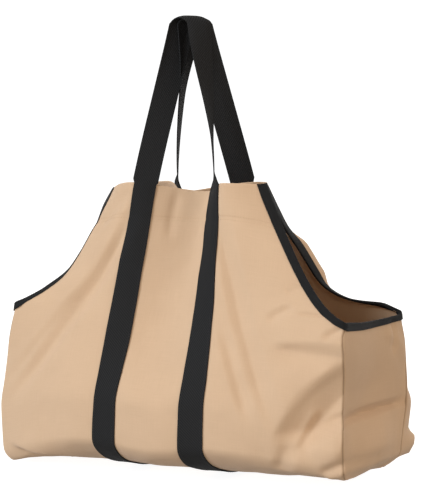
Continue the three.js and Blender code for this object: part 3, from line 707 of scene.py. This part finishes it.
def tape_rows(leg, normal, outside, inside):
    """Rows across the folded tape from rows of points that run from the tape's root to the cloth's edge."""
    over = leg[:, -1] - leg[:, -2]
    over /= np.linalg.norm(over, axis=-1, keepdims=True)
    last = normal[:, -1]
    middle = (outside - inside) / 2
    radius = (outside + inside) / 2
    fold = []
    for angle in np.linspace(0, np.pi, 7)[1:-1]:
        lift = middle + radius * np.cos(angle)
        fold.append(leg[:, -1] + last * lift[:, None] + over * FOLD_REACH * np.sin(angle))
    outer = leg + normal * outside[:, None, None]
    inner = leg - normal * inside[:, None, None]
    return np.concatenate([outer, np.stack(fold, axis=1), inner[:, ::-1]], axis=1)


def panel_tape(side, face):
    """Tape down one side edge of a face, square to the edge, from the hem to the end panel."""
    path = GUSSET_PATH + 2 + (HEM_PATH - GUSSET_PATH - 2) * np.linspace(1, 0, 40) ** 1.6
    steep = 1 - EDGE_FLARE + EDGE_FLARE * EDGE_BEND * (1 - climb(path)) ** (EDGE_BEND - 1)
    steep = steep * (HALF_LENGTH - HALF_HEM) / (HEM_PATH - GUSSET_PATH)
    slant = np.arctan(steep) * smooth((HEM_PATH - path) / 24)
    leg = TAPE_WIDTH * np.linspace(1, 0, LEG_POINTS)
    x = side * (half_width(path)[:, None] - leg * np.cos(slant)[:, None])
    point, normal = cloth(x, face * (path[:, None] - leg * np.sin(slant)[:, None]))
    hem = CANVAS / 2 + 2 * HEM_TURN * (path > HEM_PATH - HEM_DEPTH)
    corner = TAPE_SWELL * np.exp(-(((path - GUSSET_PATH) / 4) ** 2))
    return tape_rows(point, normal, CANVAS / 2 + TAPE_LIFT + corner, hem + TAPE_LIFT + corner * (face > 0))


def end_tape(side):
    """Tape along the top of an end panel: every second row, clear of its corners."""
    grid = end_panel(side, foot_line, GUSSET_PATH - TAPE_WIDTH * np.linspace(1, 0, LEG_POINTS))
    normal = side * np.cross(np.gradient(grid, axis=1), np.gradient(grid, axis=0))
    normal /= np.linalg.norm(normal, axis=-1, keepdims=True)
    from_seam = np.minimum(grid[-1, :, 1] - grid[-1, 0, 1], grid[-1, -1, 1] - grid[-1, :, 1])
    wall = CANVAS / 2 + TAPE_LIFT + TAPE_SWELL * np.exp(-((from_seam / 8) ** 2))
    rows = tape_rows(grid.transpose(1, 0, 2), normal.transpose(1, 0, 2), wall, wall)
    return rows[6:-6:2]


def corner_tape(side, face):
    """Row of tape over the seam between a face and an end panel."""
    leg = TAPE_WIDTH * np.linspace(1, 0, LEG_POINTS)
    point, normal = cloth(np.full(LEG_POINTS, side * HALF_LENGTH), face * (GUSSET_PATH - leg))
    outer = normal + np.array([side, 0, 0])
    outer /= np.linalg.norm(outer, axis=-1, keepdims=True)
    wall = np.array([CANVAS + CORNER_SWELL + TAPE_LIFT])
    return tape_rows(point[None], outer[None], wall, 1.2 * wall)


def eased(rows, steps):
    """More rows between the given ones, on smooth curves through them."""
    padded = np.concatenate([2 * rows[:1] - rows[1:2], rows, 2 * rows[-1:] - rows[-2:-1]])
    result = []
    for u in np.linspace(0, 1, steps, endpoint=False):
        a, b, c, d = padded[:-3], padded[1:-2], padded[2:-1], padded[3:]
        start = 2 * b + (c - a) * u + (2 * a - 5 * b + 4 * c - d) * u**2
        result.append(0.5 * (start + (3 * b - a - 3 * c + d) * u**3))
    between = np.stack(result, axis=1).reshape(-1, *rows.shape[1:])
    return np.concatenate([between, rows[-1:]])


def even(rows, step):
    """The same rows, spaced evenly along the tape."""
    along = np.concatenate([[0], np.cumsum(np.linalg.norm(np.diff(rows[:, FOLD_COLUMN], axis=0), axis=1))])
    stops = np.linspace(0, along[-1], int(along[-1] / step))
    values = [np.interp(stops, along, value) for value in rows.reshape(len(rows), -1).T]
    return np.stack(values, axis=1).reshape(-1, *rows.shape[1:])


def tape_material():
    """Black binding tape: fine ribs across its length, matt."""
    material = bpy.data.materials.new("black_tape")
    material.use_nodes = True
    nodes, links = material.node_tree.nodes, material.node_tree.links
    shader = nodes["Principled BSDF"]
    shader.inputs["Specular IOR Level"].default_value = 0.12
    lengths = nodes.new("ShaderNodeUVMap")
    lengths.uv_map = "cloth"
    split = nodes.new("ShaderNodeSeparateXYZ")
    links.new(lengths.outputs[0], split.inputs[0])
    ribs = thread_wave(nodes, links, split.outputs[1], 0.0005)
    rubbed = cloth_noise(nodes, links, lengths.outputs[0], (300, 60), 3)
    colour = blend_tones(nodes, links, rubbed, (0.006, 0.0062, 0.0066), (0.011, 0.0113, 0.012))
    links.new(colour, shader.inputs["Base Color"])
    rough = nodes.new("ShaderNodeMapRange")
    rough.inputs["To Min"].default_value = 0.72
    rough.inputs["To Max"].default_value = 0.9
    links.new(rubbed, rough.inputs["Value"])
    links.new(rough.outputs[0], shader.inputs["Roughness"])
    bump = nodes.new("ShaderNodeBump")
    bump.inputs["Strength"].default_value = 0.4
    bump.inputs["Distance"].default_value = 0.0002
    links.new(ribs, bump.inputs["Height"])
    links.new(bump.outputs[0], shader.inputs["Normal"])
    return material


tape = tape_material()
tape_lines = {}
for side, name, node, held_on in (
    (-1, "binding_left", "edge_tape_left", "end_panel_left"),
    (1, "binding_right", "edge_tape_right", "end_panel_right"),
):
    rows = np.concatenate([
        panel_tape(side, -1), corner_tape(side, -1), end_tape(side),
        corner_tape(side, 1), panel_tape(side, 1)[::-1],
    ])
    rows = even(eased(rows, 4), TAPE_STEP)
    for _ in range(5):
        rows[1:-1] = (rows[:-2] + 2 * rows[1:-1] + rows[2:]) / 4
    step = np.linalg.norm(np.diff(rows[:, FOLD_COLUMN], axis=0), axis=1)
    along = np.concatenate([[0], np.cumsum(step)])
    across = np.concatenate([[0], np.cumsum(np.linalg.norm(np.diff(rows[0], axis=0), axis=1))])
    flat = np.stack(np.broadcast_arrays(across[None], along[:, None]), axis=-1)
    tape_lines[side] = rows
    binding = cut_sheet(name, rows, flat, TAPE, tape)
    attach(binding, "root")
    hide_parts(node)

# Stitching: beige thread holds the hems, black thread the straps and the binding.
# Every stitch is a short length of twisted thread that dips into the cloth at both ends.
STITCH_PITCH = 4.2
STITCH_LENGTH = 3.3
THREAD = 0.8
HEM_ROW = 3  # from the hem line to either of its two rows
STRAP_ROW = 0.42 * WEBBING_WIDTH  # from a strap's middle to either of its two rows
CLEAR = 2  # bare canvas between a row's end and a strap or the binding


def thread_material(name, low, high):
    """Spun thread: fine light and dark along it, matt."""
    material = bpy.data.materials.new(name)
    material.use_nodes = True
    nodes, links = material.node_tree.nodes, material.node_tree.links
    shader = nodes["Principled BSDF"]
    shader.inputs["Specular IOR Level"].default_value = 0.2
    place = nodes.new("ShaderNodeTexCoord")
    spun = cloth_noise(nodes, links, place.outputs["Object"], (1500, 1500), 2)
    links.new(blend_tones(nodes, links, spun, low, high), shader.inputs["Base Color"])
    rough = nodes.new("ShaderNodeMapRange")
    rough.inputs["To Min"].default_value = 0.6
    rough.inputs["To Max"].default_value = 0.85
    links.new(spun, rough.inputs["Value"])
    links.new(rough.outputs[0], shader.inputs["Roughness"])
    return material


def along_line(stops, along, values):
    """Values at given lengths along a line."""
    return np.stack([np.interp(stops, along, values[:, axis]) for axis in range(3)], axis=1)


def sew(name, lines, material):
    """Stitches along lines of points and normals on the cloth, all copies of one short bent thread."""
    bpy.ops.object.select_all(action="DESELECT")
    bpy.ops.mesh.primitive_uv_sphere_add(segments=6, ring_count=5, radius=1)
    thread = bpy.context.object
    thread.name = thread.data.name = name
    mesh = thread.data
    ball = np.zeros(len(mesh.vertices) * 3)
    mesh.vertices.foreach_get("co", ball)
    ball = ball.reshape(-1, 3)
    forward = ball[:, 2] * STITCH_LENGTH / 2
    sideways = ball[:, 0] * THREAD / 2
    upward = (ball[:, 1] + 0.5 - ball[:, 2] ** 2) * THREAD / 2
    faces = [list(polygon.vertices) for polygon in mesh.polygons]
    copies = []
    for points, normals in lines:
        along = np.concatenate([[0], np.cumsum(np.linalg.norm(np.diff(points, axis=0), axis=1))])
        stops = np.arange(STITCH_PITCH / 2, along[-1] - 1, STITCH_PITCH)
        centre = along_line(stops, along, points)
        way = along_line(stops + 0.5, along, points) - along_line(stops - 0.5, along, points)
        way /= np.linalg.norm(way, axis=1, keepdims=True)
        up = along_line(stops, along, normals)
        beside = np.cross(up, way)
        beside /= np.linalg.norm(beside, axis=1, keepdims=True)
        up = np.cross(way, beside)
        copies.append(centre[:, None] + forward[:, None] * way[:, None] + sideways[:, None] * beside[:, None]
                      + upward[:, None] * up[:, None])
    copies = np.concatenate(copies)
    every_face = [
        [vertex + number * len(ball) for vertex in face] for number in range(len(copies)) for face in faces
    ]
    mesh.clear_geometry()
    mesh.from_pydata(((copies.reshape(-1, 3) - HANG) / 1000).tolist(), [], every_face)
    mesh.update()
    bpy.ops.object.shade_smooth()
    mesh.materials.append(material)
    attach(thread, "root")
    return thread


def surface_line(x, s, lift):
    """Points and normals along a line on the canvas, or lifted off its middle."""
    point, normal = cloth(x, s)
    return point + normal * lift, normal


hem_lines, strap_lines, binding_lines = [], [], []
for face in (-1, 1):
    for path in (HEM_LINE - HEM_ROW, HEM_LINE + HEM_ROW):
        reach = half_width(path) - TAPE_WIDTH - CLEAR
        inner, outer = STRAP_X - WEBBING_WIDTH / 2 - CLEAR, STRAP_X + WEBBING_WIDTH / 2 + CLEAR
        for start, end in ((-reach, -outer), (-inner, inner), (outer, reach)):
            x = np.arange(start, end, 2)
            hem_lines.append(surface_line(x, np.full(x.shape, face * path), CANVAS / 2))
    for centre in (-STRAP_X, STRAP_X):
        for x in (centre - STRAP_ROW, centre + STRAP_ROW):
            s = face * np.arange(24, HEM_PATH - 6, 3)
            strap_lines.append(surface_line(x + strap_drift(centre, s), s, WEBBING_LIFT + WEBBING))
for side, rows in tape_lines.items():
    for column in (1, -2):
        across = np.gradient(rows, axis=1)[:, column]
        along = np.gradient(rows[:, column], axis=0)
        normal = side * np.cross(across, along)
        normal /= np.linalg.norm(normal, axis=1, keepdims=True)
        binding_lines.append((rows[:, column] + normal * TAPE / 2, normal))
beige_thread = thread_material("beige_thread", (0.50, 0.35, 0.22), (0.62, 0.45, 0.30))
black_thread = thread_material("black_thread", (0.012, 0.0125, 0.013), (0.026, 0.0265, 0.028))
hem_stitches = sew("hem_stitches", hem_lines, beige_thread)
sew("strap_stitches", strap_lines, black_thread)
sew("binding_stitches", binding_lines, black_thread)

# Floor, light and camera: a pale floor just under the bag, large soft lights and the photograph's viewpoint.
# The camera stands low to the right of the front, about two and a half metres away.
bpy.ops.object.select_all(action="DESELECT")
bpy.ops.mesh.primitive_plane_add(size=40, location=(0, 0, cad_box[0][2] - 0.001))
floor = bpy.context.object
floor.name = "studio_floor"
floor_paint = bpy.data.materials.new("pale_floor")
floor_paint.use_nodes = True
floor_shader = floor_paint.node_tree.nodes["Principled BSDF"]
floor_shader.inputs["Base Color"].default_value = (0.35, 0.35, 0.35, 1)
floor_shader.inputs["Roughness"].default_value = 1
floor_shader.inputs["Specular IOR Level"].default_value = 0
floor_shader.inputs["Emission Color"].default_value = (1, 1, 1, 1)
floor_shader.inputs["Emission Strength"].default_value = 0.93
floor.data.materials.append(floor_paint)
floor.visible_diffuse = False
floor.visible_shadow = False

world = bpy.data.worlds.new("white_studio")
bpy.context.scene.world = world
world.use_nodes = True
world.node_tree.nodes["Background"].inputs["Color"].default_value = (1, 1, 1, 1)
world.node_tree.nodes["Background"].inputs["Strength"].default_value = 1.1
world.cycles_visibility.diffuse = False


def soft_light(name, toward, strength, softness, colour):
    """A distant soft light that shines from the given direction."""
    bpy.ops.object.light_add(type="SUN", location=toward)
    light = bpy.context.object
    light.name = name
    light.data.energy = strength
    light.data.angle = np.radians(softness)
    light.data.color = colour
    light.rotation_euler = (-Vector(toward)).to_track_quat("-Z", "Y").to_euler()


COOL = (0.8, 0.87, 0.95)
WARM = (1, 0.87, 0.74)
soft_light("key_light", (-0.45, -0.8, 0.4), 2.6, 36, COOL)
soft_light("top_light", (0.3, -0.3, 1), 1.4, 150, WARM)
soft_light("low_light", (-0.2, -0.8, -0.8), 1.2, 150, WARM)
soft_light("side_light", (0.92, -0.12, 0.38), 0.95, 60, WARM)
soft_light("back_light", (-0.3, 1, 0.45), 1.7, 90, (1, 0.95, 0.9))

bpy.ops.object.camera_add(location=(1.154, -2.2626, -0.2115))
camera = bpy.context.object
view = Vector((0.0425, 0.0164, -0.3621)) - camera.location
camera.rotation_euler = view.to_track_quat("-Z", "Y").to_euler()
camera.data.lens = 116.36
camera.data.sensor_width = 36
bpy.context.scene.camera = camera
bpy.context.scene.view_settings.view_transform = "Standard"
